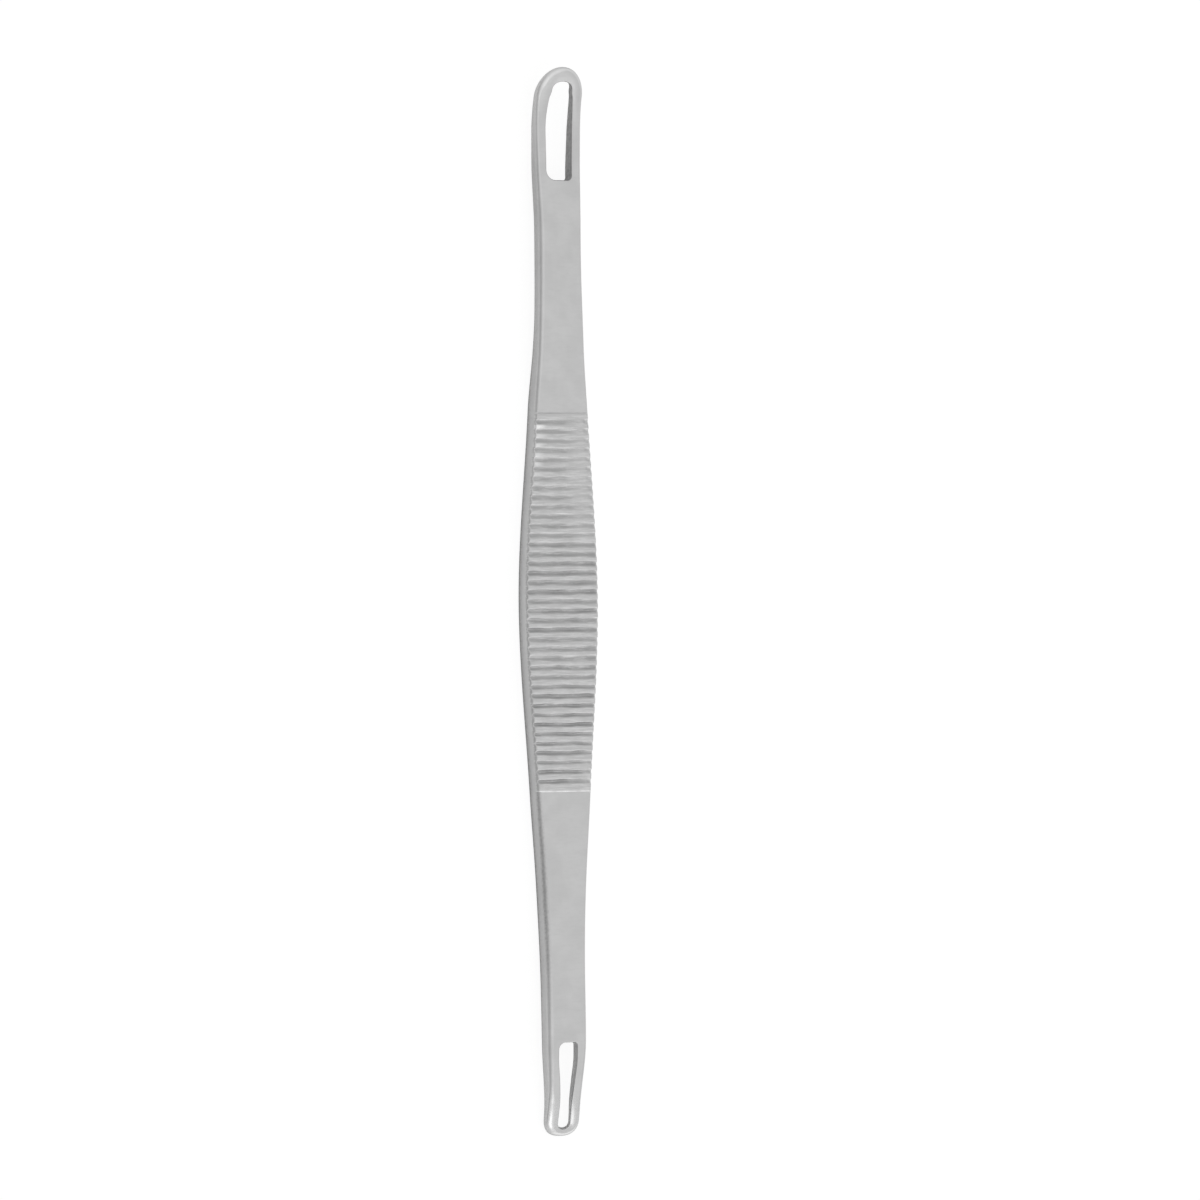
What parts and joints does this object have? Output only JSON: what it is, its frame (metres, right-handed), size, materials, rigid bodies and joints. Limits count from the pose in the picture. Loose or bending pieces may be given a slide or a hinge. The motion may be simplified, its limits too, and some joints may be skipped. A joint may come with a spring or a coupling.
{
  "type": "blackhead extractor",
  "caption": "Slim double-ended steel hand tool: a slotted loop at each end, tapering flat shanks and a swollen grip ridged across its front.",
  "frame": {"origin": "middle of the tool's box, on the plain flat back of the grip that it rests on", "axes": "+X across the tool, +Y along it towards the large loop, +Z out of the ridged front"},
  "size_m": [0.0098, 0.13, 0.0041],
  "materials": {
    "satin_steel": "satin"
  },
  "bodies": {
    "root": {"large_loop": "satin_steel", "upper_shank": "satin_steel", "grip": "satin_steel", "lower_shank": "satin_steel", "small_loop": "satin_steel"}
  },
  "joints": []
}
